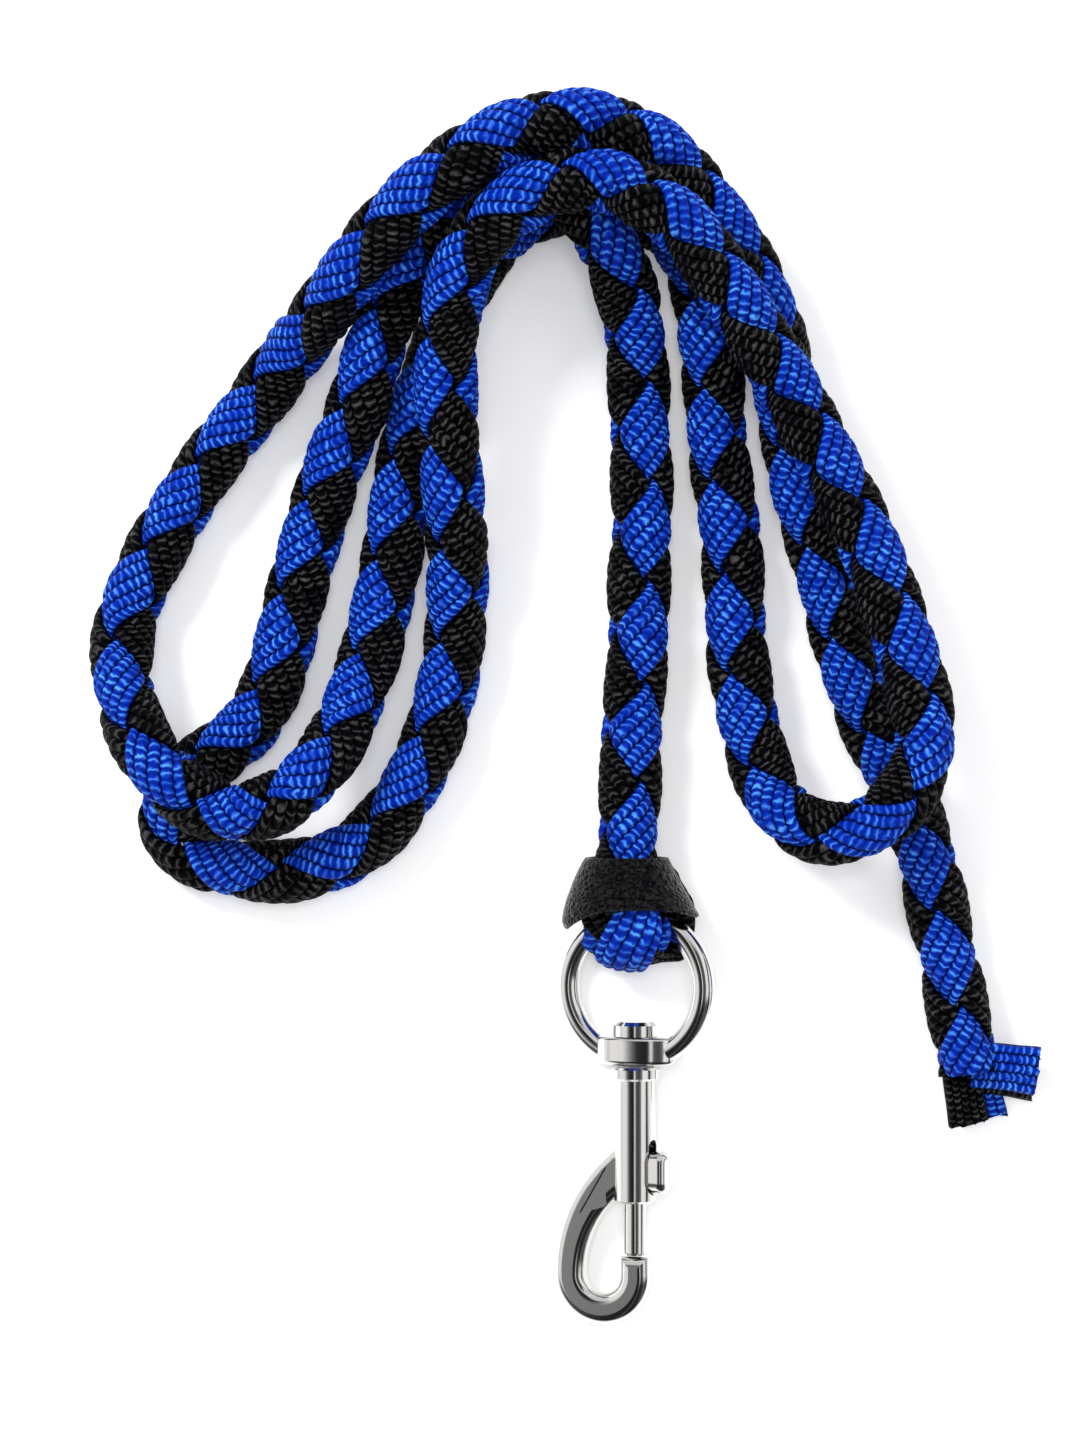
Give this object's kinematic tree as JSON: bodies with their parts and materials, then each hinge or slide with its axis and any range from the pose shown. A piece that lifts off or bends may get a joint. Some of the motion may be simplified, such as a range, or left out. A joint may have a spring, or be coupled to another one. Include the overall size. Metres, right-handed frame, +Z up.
{
  "type": "braided lead rope",
  "caption": "Two-colour round braided rope lying in a loose bundle, one end bound by a collar to the eye of a swivel bolt snap with a sprung plunger, the other end cut bare.",
  "frame": {"origin": "on the floor under the middle of the snap, the doubled end and the collar taken together", "axes": "+Y along the swivel axis from the hook towards the rope, +Z up from the floor that the bundle lies on, +X to the thumb knob's side"},
  "size_m": [0.234, 0.2994, 0.0469],
  "materials": {
    "blue_braid": "satin knitted nylon tape, royal blue",
    "black_braid": "satin knitted nylon tape, black",
    "black_leather": "pebble-grain leather, semi-gloss",
    "waxed_twine": "waxed",
    "nickel_plate": "polished nickel plate on a zinc casting",
    "spring_steel": "drawn wire, unplated"
  },
  "bodies": {
    "rope": {"rope": "blue_braid", "rope_bight": "blue_braid", "collar": "black_leather", "seizing_twine": "waxed_twine", "blue_tape_end_straight": "blue_braid", "black_tape_end_straight": "black_braid", "black_tape_end_turned": "black_braid", "blue_tape_end_turned": "blue_braid"},
    "eye": {"swivel_eye": "nickel_plate"},
    "hook": {"snap_body": "nickel_plate", "swivel_rivet": "nickel_plate", "thrust_washer": "spring_steel", "plunger_spring": "spring_steel"},
    "plunger": {"plunger_bolt": "nickel_plate", "thumb_knob": "nickel_plate", "knob_pin": "spring_steel"}
  },
  "joints": [
    {"name": "eye_rock", "type": "hinge", "parent": "rope", "child": "eye", "pos_m": [0, 0.0441, 0.00945], "axis": [0.9272, 0, 0.3746], "range_deg": [-25, 25]},
    {"name": "hook_swivel", "type": "hinge", "parent": "eye", "child": "hook", "pos_m": [0, 0, 0.00945], "axis": [0, 1, 0], "continuous": true},
    {"name": "plunger_slide", "type": "slide", "parent": "hook", "child": "plunger", "axis": [0, 1, 0], "range_m": [0, 0.01], "stiffness_N_per_m": 600, "springref_m": -0.004, "deforming": ["plunger_spring"]}
  ]
}
